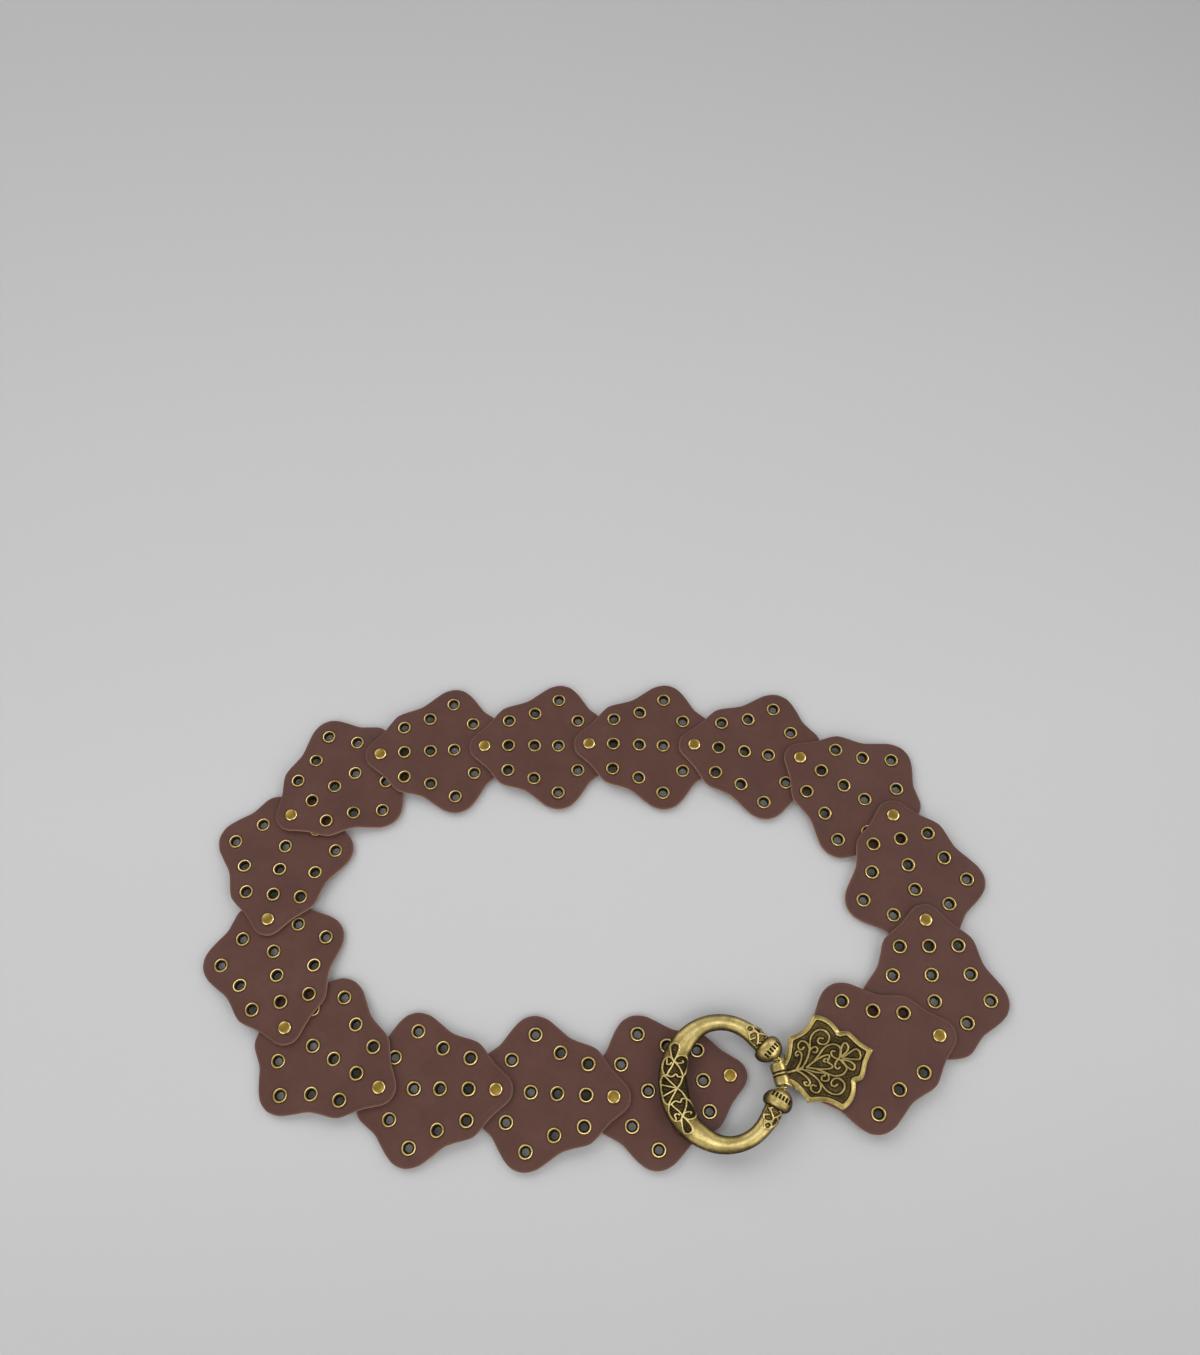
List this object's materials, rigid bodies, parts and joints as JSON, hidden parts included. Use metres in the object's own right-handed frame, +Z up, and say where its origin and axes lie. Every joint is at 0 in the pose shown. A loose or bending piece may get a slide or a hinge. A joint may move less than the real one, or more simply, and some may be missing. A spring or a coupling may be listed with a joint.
{
  "type": "grommet belt",
  "caption": "Leather panels with brass eyelets, riveted tip over wide end into a belt, fastened by a hinged brass ring with a hidden hook post.",
  "frame": {"origin": "middle of the footprint, on the surface that the belt lies on", "axes": "+X along the long way of the fastened loop, towards the buckle panel's end; +Y from the buckle's side to the plain side; +Z up, out of the leather's grain side"},
  "size_m": [0.4228, 0.2746, 0.0135],
  "materials": {
    "leather": "matt dark brown leather, fine grain",
    "cast_brass": "antique brass, polished high places and dark brown recesses",
    "stamped_brass": "antique brass, satin, thinly lacquered"
  },
  "bodies": {
    "root": {"panel_a": "leather", "panel_b": "leather", "panel_c": "leather", "panel_d": "leather", "panel_e": "leather", "panel_f": "leather", "panel_g": "leather", "panel_h": "leather", "panel_i": "leather", "panel_j": "leather", "panel_k": "leather", "panel_l": "leather", "panel_m": "leather", "panel_n": "leather", "panel_o": "leather", "rivet_a": "stamped_brass", "rivet_b": "stamped_brass", "rivet_c": "stamped_brass", "rivet_d": "stamped_brass", "rivet_e": "stamped_brass", "rivet_f": "stamped_brass", "rivet_g": "stamped_brass", "rivet_h": "stamped_brass", "rivet_i": "stamped_brass", "rivet_j": "stamped_brass", "rivet_k": "stamped_brass", "rivet_l": "stamped_brass", "rivet_m": "stamped_brass", "rivet_n": "stamped_brass", "rivet_o": "stamped_brass", "shield_plate": "cast_brass", "buckle_ring": "cast_brass"}
  },
  "joints": []
}
